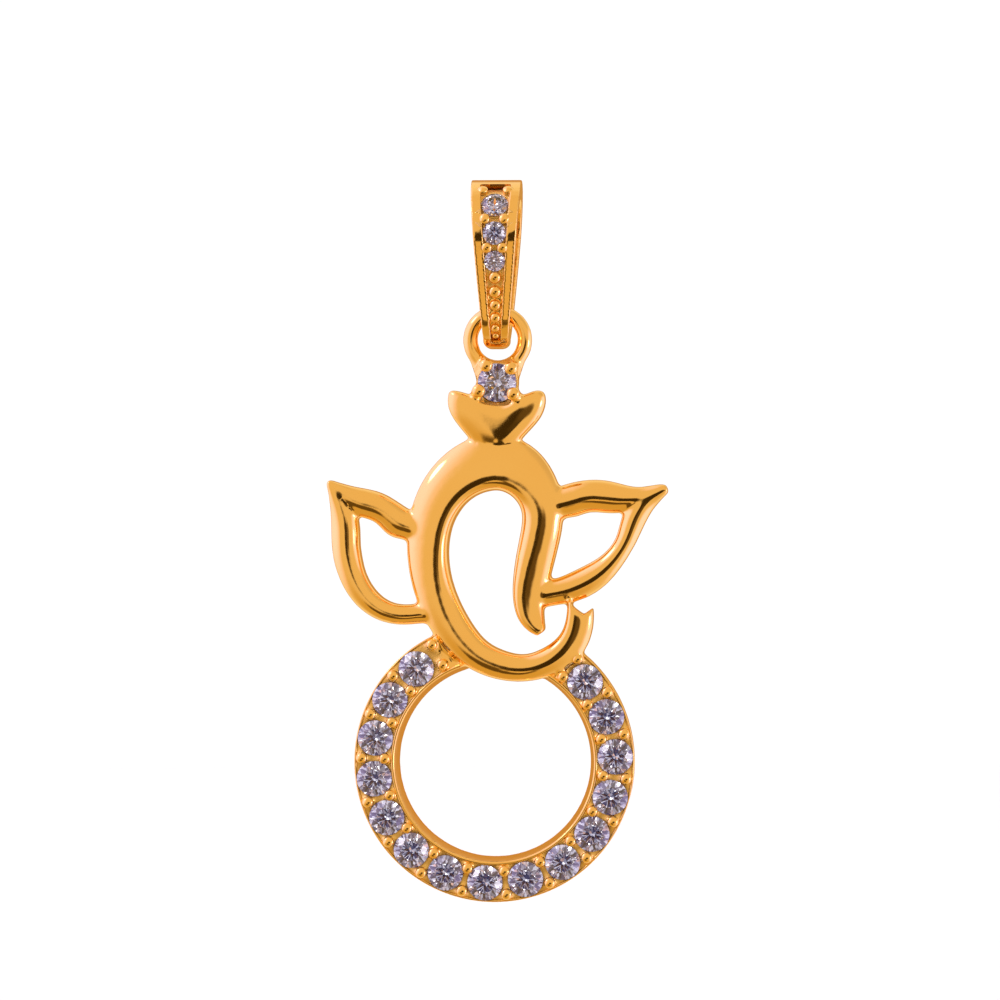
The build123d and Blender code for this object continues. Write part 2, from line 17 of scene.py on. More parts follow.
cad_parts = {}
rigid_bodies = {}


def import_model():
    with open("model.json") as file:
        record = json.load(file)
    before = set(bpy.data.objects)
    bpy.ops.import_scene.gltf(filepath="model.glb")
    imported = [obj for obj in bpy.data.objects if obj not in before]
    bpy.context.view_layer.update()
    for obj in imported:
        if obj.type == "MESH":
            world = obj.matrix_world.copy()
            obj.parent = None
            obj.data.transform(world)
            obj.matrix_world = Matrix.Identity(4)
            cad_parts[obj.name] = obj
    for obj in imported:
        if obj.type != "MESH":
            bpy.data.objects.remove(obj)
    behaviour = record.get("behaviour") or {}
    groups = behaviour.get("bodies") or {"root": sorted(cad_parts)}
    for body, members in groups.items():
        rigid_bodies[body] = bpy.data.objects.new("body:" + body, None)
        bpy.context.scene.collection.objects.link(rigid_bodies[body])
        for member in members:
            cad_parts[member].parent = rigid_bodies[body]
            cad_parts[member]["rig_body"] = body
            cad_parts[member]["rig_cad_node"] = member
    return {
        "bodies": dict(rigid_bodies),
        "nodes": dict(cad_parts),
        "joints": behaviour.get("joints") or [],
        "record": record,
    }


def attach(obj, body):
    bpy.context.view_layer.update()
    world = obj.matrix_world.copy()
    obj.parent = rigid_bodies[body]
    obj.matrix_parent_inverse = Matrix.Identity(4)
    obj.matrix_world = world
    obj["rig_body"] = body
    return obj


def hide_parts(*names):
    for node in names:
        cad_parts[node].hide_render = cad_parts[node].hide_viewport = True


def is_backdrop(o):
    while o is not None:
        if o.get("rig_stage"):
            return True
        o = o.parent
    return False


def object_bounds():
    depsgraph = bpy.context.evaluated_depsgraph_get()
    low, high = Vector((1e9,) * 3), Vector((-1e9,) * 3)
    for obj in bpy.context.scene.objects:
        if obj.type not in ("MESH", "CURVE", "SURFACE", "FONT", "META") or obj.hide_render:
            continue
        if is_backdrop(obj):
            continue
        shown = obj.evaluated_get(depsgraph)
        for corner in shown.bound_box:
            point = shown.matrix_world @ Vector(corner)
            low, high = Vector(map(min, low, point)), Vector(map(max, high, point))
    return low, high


log = logging.getLogger("pendant")

MM = 0.001
# Distance under which doubled points are merged, in metres
MERGE = MM / 1000
# Height of a stone's girdle above its lowest point, as a share of the stone's height
GIRDLE_SHARE = 0.708
# Slope of a stone's underside, in degrees
PAVILION_ANGLE = 40.75
# Name of the point attribute that marks the hollows between the stones: satin, graver's marks and
# painted light there
HOLLOW = "hollow"
# Decimals to which the normals of one flat's faces agree
FLAT_DIGITS = 3
# Least part of a face's normal along an axis that makes it an end cap
CAP_FACING = 0.99
# Direction that the pendant faces
FRONT = Vector((0, -1, 0))


class Body(Enum):
    """The two bodies of the pendant."""

    BAIL = "bail"
    DROP = "drop"


class Slot(Enum):
    """The two material slots of the pendant."""

    GOLD = "gold"
    STONE = "stone"


# A number, or a value that varies over a surface
Number = Union[float, "Field"]


class Field:
    """One value output of a node, with the arithmetic that shader maths needs."""

    def __init__(self, board: "Board", socket: bpy.types.NodeSocket) -> None:
        """Wrap a socket.

        Args:
            board: The node board that holds the socket.
            socket: The output that carries the value.
        """
        self.board = board
        self.socket = socket

    def _math(self, operation: str, first: Number, second: Number) -> "Field":
        """Join two values by a Math node.

        Args:
            operation: Name of the Math node's operation.
            first: First value or field.
            second: Second value or field.

        Returns:
            The field of the result.
        """
        node = self.board.add("ShaderNodeMath", {"operation": operation}, {0: first, 1: second})
        return Field(self.board, node.outputs[0])

    def __add__(self, other: Number) -> "Field":
        """Return the sum."""
        return self._math("ADD", self, other)

    def __radd__(self, other: Number) -> "Field":
        """Return the sum with the number first."""
        return self._math("ADD", other, self)

    def __mul__(self, other: Number) -> "Field":
        """Return the product."""
        return self._math("MULTIPLY", self, other)

    def __rmul__(self, other: Number) -> "Field":
        """Return the product with the number first."""
        return self._math("MULTIPLY", other, self)


class Board:
    """The nodes of one material or of the world."""

    def __init__(self, tree: bpy.types.NodeTree) -> None:
        """Empty a node tree and keep it.

        Args:
            tree: The node tree to fill.
        """
        self.tree = tree
        tree.nodes.clear()

    def add(self, kind: str, settings: dict[str, Any], values: dict[Any, Any]) -> bpy.types.Node:
        """Add a node, set its options and fill its sockets.

        Args:
            kind: The node's type name.
            settings: Node properties by name.
            values: Socket values, links or fields, by socket name or number.

        Returns:
            The new node.
        """
        node = self.tree.nodes.new(kind)
        for name, value in settings.items():
            setattr(node, name, value)
        for name, value in values.items():
            socket = node.inputs[name]
            if isinstance(value, Field):
                self.tree.links.new(value.socket, socket)
            elif isinstance(value, bpy.types.NodeSocket):
                self.tree.links.new(value, socket)
            else:
                socket.default_value = value
        return node

    def field(self, kind: str, settings: dict[str, Any], values: dict[Any, Any],
              output: Any = 0) -> Field:
        """Add a node and return one of its outputs as a field.

        Args:
            kind: The node's type name.
            settings: Node properties by name.
            values: Socket values or links.
            output: Name or number of the output.

        Returns:
            The field of that output.
        """
        return Field(self, self.add(kind, settings, values).outputs[output])

    def noise(self, place: bpy.types.NodeSocket, scale: float, detail: float,
              rough: float = 0.5) -> Field:
        """Return a noise value field.

        Args:
            place: The coordinates that it reads.
            scale: Cells per unit of the coordinates, which on a piece is a metre.
            detail: Octaves.
            rough: Share that each finer octave keeps.

        Returns:
            The noise value, about 0 to 1.
        """
        values = {"Vector": place, "Scale": scale, "Detail": detail, "Roughness": rough}
        return self.field("ShaderNodeTexNoise", {}, values, "Fac")

    def blend(self, share: Number, first: Any, second: Any) -> bpy.types.NodeSocket:
        """Mix two colours.

        Args:
            share: Part of the second colour.
            first: Colour or link at share 0.
            second: Colour or link at share 1.

        Returns:
            The mixed colour's socket.
        """
        node = self.add("ShaderNodeMix", {"data_type": "RGBA"},
                        {"Factor": share, 6: first, 7: second})
        return node.outputs[2]


@dataclass(frozen=True)
class PolishedGold:
    """Yellow gold: mirror polish, left satin in the hollows between stones, painted paler there as
    painted light.

    Attributes:
        name: The material's name.
        colour: Reflection colour.
        deep: Colour where the surface is a little redder.
        hollow: Paler colour in the hollows: painted light against the shade there.
        roughness: Roughness of the clean polish.
        wear: How much rougher the worn spots are.
        satin: How much rougher the hollows are.
        relief: Height of the polishing marks, in metres.
        wave_share: Part of that relief in long waves; the rest is in fine marks.
        cuts: Height of the graver's marks in the hollows, in metres.
        cloud_scale: Cells of the colour's patches, per metre.
        wave_scale: Cells of the polish's long waves, per metre.
        fine_scale: Cells of its fine marks, per metre.
        cut_scale: Cells of the graver's marks, per metre.
    """

    name: str = "polished_gold"
    colour: tuple[float, float, float, float] = (1.0, 0.72, 0.27, 1.0)
    deep: tuple[float, float, float, float] = (0.99, 0.67, 0.22, 1.0)
    hollow: tuple[float, float, float, float] = (1.0, 0.75, 0.28, 1.0)
    roughness: float = 0.06
    wear: float = 0.1
    satin: float = 0.4
    relief: float = 0.000003
    wave_share: float = 0.75
    cuts: float = 0.000025
    cloud_scale: float = 420.0
    wave_scale: float = 900.0
    fine_scale: float = 5200.0
    cut_scale: float = 3200.0

    def build(self) -> bpy.types.Material:
        """Make the material.

        Returns:
            The finished material.
        """
        material = bpy.data.materials.new(self.name)
        material.use_nodes = True
        board = Board(material.node_tree)
        place = board.add("ShaderNodeTexCoord", {}, {}).outputs["Object"]
        cloudy = board.noise(place, self.cloud_scale, detail=3.0)
        fine = board.noise(place, self.fine_scale, detail=4.0, rough=0.62)
        waves = board.noise(place, self.wave_scale, detail=2.0)
        rugged = board.noise(place, self.cut_scale, detail=1.0)
        hollow = board.field("ShaderNodeAttribute", {"attribute_name": HOLLOW}, {}, "Fac")
        face = board.blend(cloudy, self.colour, self.deep)
        # Painted light: the hollows are painted paler against the shade that falls in them.
        colour = board.blend(hollow, face, self.hollow)
        roughness = self.roughness + self.wear * cloudy * fine + self.satin * hollow
        polish = self.wave_share * waves + (1 - self.wave_share) * fine
        height = self.relief * polish + self.cuts * hollow * rugged
        bump = board.add("ShaderNodeBump", {},
                         {"Strength": 1.0, "Distance": 1.0, "Height": height})
        shader = board.add("ShaderNodeBsdfPrincipled", {}, {
            "Base Color": colour,
            "Metallic": 1.0,
            "Roughness": roughness,
            "Normal": bump.outputs[0],
        })
        board.add("ShaderNodeOutputMaterial", {}, {"Surface": shader.outputs[0]})
        return material


@dataclass(frozen=True)
class CutStone:
    """Clear faceted stone with a faint lavender cast.

    Attributes:
        name: The material's name.
        tint: Colour of the light that passes through.
        paler: The same where the stone is clearest.
        bend: Refractive index.
        roughness: Roughness of the clean facets.
        wear: How much rougher the facets are where they are worn.
        cloud_scale: Cells of the tint's patches, per metre.
    """

    name: str = "cut_stone"
    tint: tuple[float, float, float, float] = (0.93, 0.91, 1.0, 1.0)
    paler: tuple[float, float, float, float] = (1.0, 1.0, 1.0, 1.0)
    bend: float = 2.16
    roughness: float = 0.004
    wear: float = 0.012
    cloud_scale: float = 1400.0

    def build(self) -> bpy.types.Material:
        """Make the material.

        Returns:
            The finished material.
        """
        material = bpy.data.materials.new(self.name)
        material.use_nodes = True
        board = Board(material.node_tree)
        place = board.add("ShaderNodeTexCoord", {}, {}).outputs["Object"]
        cloudy = board.noise(place, self.cloud_scale, detail=2.0)
        shader = board.add("ShaderNodeBsdfPrincipled", {}, {
            "Base Color": board.blend(cloudy, self.tint, self.paler),
            "Roughness": self.roughness + self.wear * cloudy,
            "IOR": self.bend,
            "Transmission Weight": 1.0,
        })
        board.add("ShaderNodeOutputMaterial", {}, {"Surface": shader.outputs[0]})
        return material


@dataclass(frozen=True)
class PaleFloor:
    """Matt off-white floor.

    Attributes:
        name: The material's name.
        colour: Main colour.
        shade: Colour of its faint mottling.
        roughness: Its roughness.
        mottle_scale: Cells of the mottling, per metre.
    """

    name: str = "pale_floor"
    colour: tuple[float, float, float, float] = (0.94, 0.94, 0.94, 1.0)
    shade: tuple[float, float, float, float] = (0.9, 0.9, 0.9, 1.0)
    roughness: float = 0.8
    mottle_scale: float = 30.0

    def build(self) -> bpy.types.Material:
        """Make the material.

        Returns:
            The finished material.
        """
        material = bpy.data.materials.new(self.name)
        material.use_nodes = True
        board = Board(material.node_tree)
        place = board.add("ShaderNodeTexCoord", {}, {}).outputs["Object"]
        mottle = board.noise(place, self.mottle_scale, detail=3.0)
        shader = board.add("ShaderNodeBsdfPrincipled", {}, {
            "Base Color": board.blend(mottle, self.colour, self.shade),
            "Roughness": self.roughness,
        })
        board.add("ShaderNodeOutputMaterial", {}, {"Surface": shader.outputs[0]})
        return material


def deselect() -> None:
    """Leave edit mode and deselect every object."""
    if bpy.context.object is not None and bpy.context.object.mode != "OBJECT":
        bpy.ops.object.mode_set(mode="OBJECT")
    bpy.ops.object.select_all(action="DESELECT")


def choose(piece: bpy.types.Object) -> None:
    """Make one object the only selected and active one.

    Args:
        piece: The object.
    """
    deselect()
    piece.select_set(True)
    bpy.context.view_layer.objects.active = piece


def pick_faces(piece: bpy.types.Object, test: Callable[[bpy.types.MeshPolygon], bool]) -> None:
    """Enter edit mode with the faces selected that pass a test.

    Args:
        piece: The object.
        test: Says of a face whether it is selected.
    """
    choose(piece)
    bpy.ops.object.mode_set(mode="EDIT")
    bpy.ops.mesh.select_mode(type="FACE")
    bpy.ops.mesh.select_all(action="DESELECT")
    bpy.ops.object.mode_set(mode="OBJECT")
    for face in piece.data.polygons:
        face.select = test(face)
    bpy.ops.object.mode_set(mode="EDIT")


def modifier(piece: bpy.types.Object, kind: str, **settings: Any) -> None:
    """Add a modifier and apply it.

    Args:
        piece: The object.
        kind: The modifier's type name.
        **settings: The modifier's properties.
    """
    choose(piece)
    added = piece.modifiers.new(kind.lower(), kind)
    for name, value in settings.items():
        setattr(added, name, value)
    bpy.ops.object.modifier_apply(modifier=added.name)


def resize(piece: bpy.types.Object, factor: float) -> None:
    """Scale an object about the origin and apply the scale.

    Args:
        piece: The object.
        factor: How many times larger it becomes.
    """
    choose(piece)
    piece.scale = (factor, factor, factor)
    bpy.ops.object.transform_apply(location=False, rotation=False, scale=True)


def copy_node(node: bpy.types.Object, name: str) -> bpy.types.Object:
    """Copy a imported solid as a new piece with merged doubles.

    Args:
        node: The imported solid.
        name: Name of the piece.

    Returns:
        The new object, with a mesh of its own and no parent.
    """
    piece = node.copy()
    piece.data = node.data.copy()
    piece.name = name
    piece.parent = None
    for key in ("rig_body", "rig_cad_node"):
        del piece[key]
    bpy.context.scene.collection.objects.link(piece)
    choose(piece)
    if piece.data.has_custom_normals:
        bpy.ops.mesh.customdata_custom_splitnormals_clear()
    bpy.ops.object.mode_set(mode="EDIT")
    bpy.ops.mesh.select_all(action="SELECT")
    bpy.ops.mesh.remove_doubles(threshold=MERGE)
    bpy.ops.object.mode_set(mode="OBJECT")
    return piece


def dress(piece: bpy.types.Object, material: bpy.types.Material) -> None:
    """Give a piece one material."""
    piece.data.materials.clear()
    piece.data.materials.append(material)


def fit(piece: bpy.types.Object, body: Body, slot: Slot, *nodes: str) -> None:
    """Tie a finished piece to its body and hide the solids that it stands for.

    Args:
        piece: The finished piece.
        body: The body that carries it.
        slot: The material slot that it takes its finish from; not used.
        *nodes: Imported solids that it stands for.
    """
    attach(piece, body.value)
    if nodes:
        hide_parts(*nodes)
    log.info("%s: %d faces", piece.name, len(piece.data.polygons))


def spot_matrix(spot: Vector, normal: Vector) -> Matrix:
    """Return the matrix that moves a piece from the origin to a spot.

    Args:
        spot: Where its origin goes.
        normal: Where its local Z points.

    Returns:
        The placing matrix.
    """
    turn = normal.to_track_quat("Z", "Y").to_matrix().to_4x4()
    return Matrix.Translation(spot) @ turn


@dataclass(frozen=True)
class Seat:
    """Where one stone sits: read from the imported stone.

    Attributes:
        centre: Middle of the girdle, in metres.
        normal: Unit vector out of the table.
        diameter: Diameter of the girdle, in metres.
    """

    centre: Vector
    normal: Vector
    diameter: float

    @classmethod
    def of(cls, stone: bpy.types.Object) -> "Seat":
        """Read a seat from a packed stone.

        Args:
            stone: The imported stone; its table is its largest flat.

        Returns:
            The seat.
        """
        flats: dict[tuple, float] = {}
        for face in stone.data.polygons:
            key = tuple(round(part, FLAT_DIGITS) for part in face.normal)
            flats[key] = flats.get(key, 0.0) + face.area
        normal = Vector(max(flats, key=flats.get)).normalized()
        points = [vertex.co.copy() for vertex in stone.data.vertices]
        heights = [point.dot(normal) for point in points]
        culet = points[heights.index(min(heights))]
        reach = max(((point - culet) - (point - culet).dot(normal) * normal).length
                    for point in points)
        tall = max(heights) - min(heights)
        return cls(culet + GIRDLE_SHARE * tall * normal, normal, 2 * reach)

    def frame(self) -> Matrix:
        """Return the matrix that places a piece on the girdle, its local Z out of the table."""
        return spot_matrix(self.centre, self.normal)


def put(piece: bpy.types.Object, matrix: Matrix) -> None:
    """Move a piece by a matrix and apply the move to its mesh.

    Args:
        piece: The piece, modelled at the origin.
        matrix: Where it goes.
    """
    choose(piece)
    piece.matrix_world = matrix
    bpy.ops.object.transform_apply()


def duplicate(piece: bpy.types.Object, name: str, matrix: Matrix) -> bpy.types.Object:
    """Copy a piece with a mesh of its own and place the copy.

    Args:
        piece: The piece to copy, modelled at the origin.
        name: Name of the copy.
        matrix: Where the copy goes.

    Returns:
        The placed copy.
    """
    other = piece.copy()
    other.data = piece.data.copy()
    other.name = name
    bpy.context.scene.collection.objects.link(other)
    put(other, matrix)
    return other


def discard(piece: bpy.types.Object) -> None:
    """Remove a piece that only served as a pattern or a cutter."""
    bpy.data.objects.remove(piece)


@dataclass
class CastGold:
    """A cast solid with soft joints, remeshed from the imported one, and its stones' seats cut anew.

    Attributes:
        node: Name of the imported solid.
        name: Name of the piece.
        body: The body that carries it.
        seats: The stones' seats.
        grain: Cell of the remesh, in millimetres.
        passes: Smoothing passes.
        plug_depth: How deep the old seats are filled, in metres.
        plug_sink: How far the filling stays below the girdles, in metres.
        clearance: Gap round a stone, in metres.
        hole_share: Open hole behind a stone, as a share of the seat.
        hollow_reach: How far round a seat its hollow may reach, in metres.
        hollow_depths: Least and greatest depth of a hollow's floor below a girdle, in metres.
        hollow_facing: Least part of a hollow's normal along its stone's direction.
        softness: Strength of one smoothing pass.
        plug_overlap: How much wider than its stone a filling is, on each side, in metres.
        sides: Sides of a filling and of a cut seat.
        crease: Angle above which an edge stays sharp, in degrees.
    """

    node: str
    name: str
    body: Body
    seats: list[Seat]
    grain: float
    passes: int
    plug_depth: float
    plug_sink: float = 0.0
    clearance: float = 0.015 * MM
    hole_share: float = 0.5
    hollow_reach: float = 1.15 * MM
    hollow_depths: tuple[float, float] = (0.03 * MM, 0.4 * MM)
    hollow_facing: float = 0.3
    softness: float = 0.5
    plug_overlap: float = 0.03 * MM
    sides: tuple[int, int] = (48, 64)
    crease: float = 38.0

    def _plug(self, seat: Seat) -> bpy.types.Object:
        """Make a short cylinder that fills one seat.

        Args:
            seat: The seat.

        Returns:
            The filling, in its place.
        """
        deselect()
        bpy.ops.mesh.primitive_cylinder_add(
            vertices=self.sides[0], radius=seat.diameter / 2 + self.plug_overlap,
            depth=self.plug_depth, location=(0, 0, -self.plug_sink - self.plug_depth / 2))
        plug = bpy.context.object
        bpy.ops.object.transform_apply()
        put(plug, seat.frame())
        return plug

    def _cutter(self, seat: Seat) -> bpy.types.Object:
        """Make the cone and hole that one stone's seat takes away.

        Args:
            seat: The seat.

        Returns:
            The cutter, in its place.
        """
        radius = seat.diameter / 2 + self.clearance
        hole = self.hole_share * radius
        bevel = (radius - hole) * math.tan(math.radians(PAVILION_ANGLE))
        deselect()
        bpy.ops.mesh.primitive_cone_add(vertices=self.sides[1], radius1=hole, radius2=radius,
                                        depth=bevel, location=(0, 0, -bevel / 2))
        cutter = bpy.context.object
        bpy.ops.object.transform_apply()
        for side in (1, -1):
            pick_faces(cutter, lambda face: side * face.normal.z > CAP_FACING)
            bpy.ops.mesh.extrude_region_move(
                TRANSFORM_OT_translate={"value": (0, 0, 2 * side * self.plug_depth)})
            bpy.ops.object.mode_set(mode="OBJECT")
        put(cutter, seat.frame())
        return cutter

    def _join(self, first: bpy.types.Object, others: list[bpy.types.Object]) -> None:
        """Join others into the first object.

        Args:
            first: The object that takes them in.
            others: The objects that are joined into it.
        """
        deselect()
        for other in others:
            other.select_set(True)
        first.select_set(True)
        bpy.context.view_layer.objects.active = first
        bpy.ops.object.join()

    def _is_hollow(self, point: Vector, normal: Vector) -> bool:
        """Tell whether a place of the surface lies on a hollow's floor between stones.

        Args:
            point: The place.
            normal: The surface's unit normal there.

        Returns:
            True on a hollow's floor.
        """
        for seat in self.seats:
            apart = point - seat.centre
            depth = -apart.dot(seat.normal)
            aside = (apart + depth * seat.normal).length
            if (aside < self.hollow_reach and normal.dot(seat.normal) > self.hollow_facing
                    and self.hollow_depths[0] < depth < self.hollow_depths[1]):
                return True
        return False

    def _mark_hollows(self, piece: bpy.types.Object) -> None:
        """Write the share of hollow into an attribute of the piece's points.

        Args:
            piece: The cut and smoothed piece.
        """
        mark = piece.data.attributes.new(HOLLOW, "FLOAT", "POINT")
        for index, vertex in enumerate(piece.data.vertices):
            mark.data[index].value = float(self._is_hollow(vertex.co, vertex.normal))

    def build(self, frame: dict[str, Any], gold: bpy.types.Material) -> bpy.types.Object:
        """Remesh, smooth, cut and dress the solid.

        Args:
            frame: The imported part.
            gold: Its material.

        Returns:
            The finished piece.
        """
        piece = copy_node(frame["nodes"][self.node], self.name)
        self._join(piece, [self._plug(seat) for seat in self.seats])
        resize(piece, 1 / MM)
        modifier(piece, "REMESH", mode="VOXEL", voxel_size=self.grain, use_smooth_shade=True)
        modifier(piece, "SMOOTH", factor=self.softness, iterations=self.passes)
        cutters = [self._cutter(seat) for seat in self.seats]
        self._join(cutters[0], cutters[1:])
        resize(cutters[0], 1 / MM)
        modifier(piece, "BOOLEAN", operation="DIFFERENCE", object=cutters[0], solver="MANIFOLD")
        discard(cutters[0])
        resize(piece, MM)
        choose(piece)
        bpy.ops.object.shade_smooth_by_angle(angle=math.radians(self.crease))
        self._mark_hollows(piece)
        dress(piece, gold)
        fit(piece, self.body, Slot.GOLD, self.node)
        return piece


@dataclass
class Bead:
    """A bead prong: a flattened ball on a short foot, raised from the metal and burnished.

    Attributes:
        diameter: Diameter of the ball, in metres.
        foot: Length of its foot, in metres.
        body: The body that carries its copies.
        flatness: Height of the ball as a share of its diameter.
        rise: How far the ball stands in front of its place, as a share of its diameter.
        waist: How far below its middle the ball turns into its foot, as a share of its height.
        flare: How many times wider the foot's end is than the ball there.
        segments: Faces round the ball.
        rings: Rows of faces from pole to pole.
    """

    diameter: float
    foot: float
    body: Body
    flatness: float = 0.65
    rise: float = 0.17
    waist: float = 0.28
    flare: float = 1.15
    segments: int = 24
    rings: int = 14

    def model(self) -> bpy.types.Object:
        """Make one bead at the origin.

        Returns:
            The bead, its foot along -Z.
        """
        deselect()
        bpy.ops.mesh.primitive_uv_sphere_add(
            segments=self.segments, ring_count=self.rings, radius=self.diameter / 2,
            location=(0, 0, self.rise * self.diameter), scale=(1.0, 1.0, self.flatness))
        bead = bpy.context.object
        bpy.ops.object.transform_apply()
        under = (self.rise - self.waist * self.flatness) * self.diameter
        pick_faces(bead, lambda face: face.center.z < under)
        bpy.ops.mesh.extrude_region_move(TRANSFORM_OT_translate={"value": (0, 0, -self.foot)})
        bpy.ops.transform.resize(value=(self.flare, self.flare, 1.0), center_override=(0, 0, 0))
        bpy.ops.object.mode_set(mode="OBJECT")
        bpy.ops.object.shade_smooth()
        return bead

    def set(self, name: str, spots: Iterable[tuple[Vector, Vector]],
            gold: bpy.types.Material) -> None:
        """Copy the bead to its places.

        Args:
            name: Name of the copies, before their number.
            spots: Pairs of place and outward direction.
            gold: Its material.
        """
        bead = self.model()
        for index, (spot, normal) in enumerate(spots):
            other = duplicate(bead, f"{name}_{index + 1:02d}", spot_matrix(spot, normal))
            dress(other, gold)
            fit(other, self.body, Slot.GOLD)
        discard(bead)


@dataclass
class BailFront:
    """Bead pairs and milgrain grains in the channel of the bail's front.

    Attributes:
        upper: Radius of the bail's upper arc, in metres.
        lower: Radius of its lower arc, in metres.
        upper_z: Height of the upper arc's middle, in metres.
        lower_z: Height of the lower arc's middle, in metres.
        inset: How deep the beads' middles lie below the rails, in metres.
        pair_runs: Runs of the bead pairs down the front from the top, in metres.
        pair_spreads: Distances between the beads of the pairs, in metres.
        bead: Diameter of a bead, in metres.
        foot: Length of a bead's foot, in metres.
        grain_runs: Runs of the grains, in metres.
        grains: Diameters of the grains, in metres.
        grain_foot: Length of a grain's foot, in metres.
    """

    upper: float = 2.2 * MM
    lower: float = 1.52 * MM
    upper_z: float = -1.45 * MM
    lower_z: float = -4.78 * MM
    inset: float = 0.14 * MM
    pair_runs: tuple[float, ...] = (1.448 * MM, 2.973 * MM, 4.208 * MM)
    pair_spreads: tuple[float, ...] = (1.04 * MM, 0.8 * MM, 0.64 * MM)
    bead: float = 0.46 * MM
    foot: float = 0.1 * MM
    grain_runs: tuple[float, ...] = (
        5.451 * MM, 6.051 * MM, 6.616 * MM, 7.141 * MM, 7.621 * MM, 8.026 * MM)
    grains: tuple[float, ...] = (0.5 * MM, 0.5 * MM, 0.45 * MM, 0.42 * MM, 0.35 * MM, 0.28 * MM)
    grain_foot: float = 0.06 * MM

    def spot(self, run: float, aside: float = 0.0) -> tuple[Vector, Vector]:
        """Return a place in the channel and the direction out of it.

        Args:
            run: Distance down the front from the bail's top, in metres.
            aside: Distance to the right of the middle, in metres.

        Returns:
            The place and the unit vector out of the front.
        """
        lean = math.asin((self.upper - self.lower) / (self.upper_z - self.lower_z))
        arc = self.upper * (math.pi / 2 + lean)
        wall = (self.upper_z - self.lower_z) * math.cos(lean)
        slide = min(max(run - arc, 0.0), wall)
        radius, height = (self.upper, self.upper_z)
        angle = math.pi / 2 - min(run, arc) / self.upper
        if run > arc + wall:
            radius, height, slide = (self.lower, self.lower_z, 0.0)
            angle = -lean - (run - arc - wall) / self.lower
        out = Vector((0, -math.cos(angle), math.sin(angle)))
        down = Vector((0, math.sin(lean), -math.cos(lean)))
        middle = Vector((aside, 0, height))
        return middle + (radius - self.inset) * out + slide * down, out

    def build(self, gold: bpy.types.Material) -> None:
        """Add the beads and the grains.

        Args:
            gold: Their material.
        """
        pairs = [self.spot(run, side * spread / 2)
                 for run, spread in zip(self.pair_runs, self.pair_spreads) for side in (-1, 1)]
        Bead(self.bead, self.foot, Body.BAIL).set("bail_bead", pairs, gold)
        for index, (run, size) in enumerate(zip(self.grain_runs, self.grains)):
            grain = Bead(size, self.grain_foot, Body.BAIL)
            grain.set(f"bail_grain_{index + 1}", [self.spot(run)], gold)


@dataclass
class CrownClaws:
    """The four round claws that hold the crown stone.

    Attributes:
        seat: The stone's seat.
        diameter: Diameter of a claw, in metres.
        foot: Length of its stalk, in metres.
        inset: How far its middle lies outside the stone's edge, in metres.
        rise: How far its middle lies in front of the girdle, in metres.
        angles: Where they stand round the stone, in degrees.
    """

    seat: Seat
    diameter: float = 0.56 * MM
    foot: float = 0.5 * MM
    inset: float = 0.03 * MM
    rise: float = 0.2 * MM
    angles: tuple[float, ...] = (45.0, 122.0, 205.0, 325.0)

    def build(self, gold: bpy.types.Material) -> None:
        """Add the claws.

        Args:
            gold: Their material.
        """
        reach = self.seat.diameter / 2 + self.inset
        spots = []
        for angle in self.angles:
            turn = math.radians(angle)
            aside = Vector((math.cos(turn), 0, math.sin(turn)))
            spots.append((self.seat.centre + reach * aside + self.rise * self.seat.normal,
                          self.seat.normal))
        Bead(self.diameter, self.foot, Body.DROP).set("crown_claw", spots, gold)


@dataclass(frozen=True)
class Rail:
    """A thin polished wire along the ring of stones.

    Attributes:
        name: Name of the piece.
        inset: How far inside the stones' circle it runs, in metres.
        width: Its thickness, in metres.
        sink: How far its middle lies behind the girdles, in metres.
        sides: Faces round the wire.
        steps: Faces along it.
        crease: Angle above which an edge stays sharp, in degrees.
    """

    name: str
    inset: float
    width: float
    sink: float
    sides: int = 12
    steps: int = 160
    crease: float = 50.0


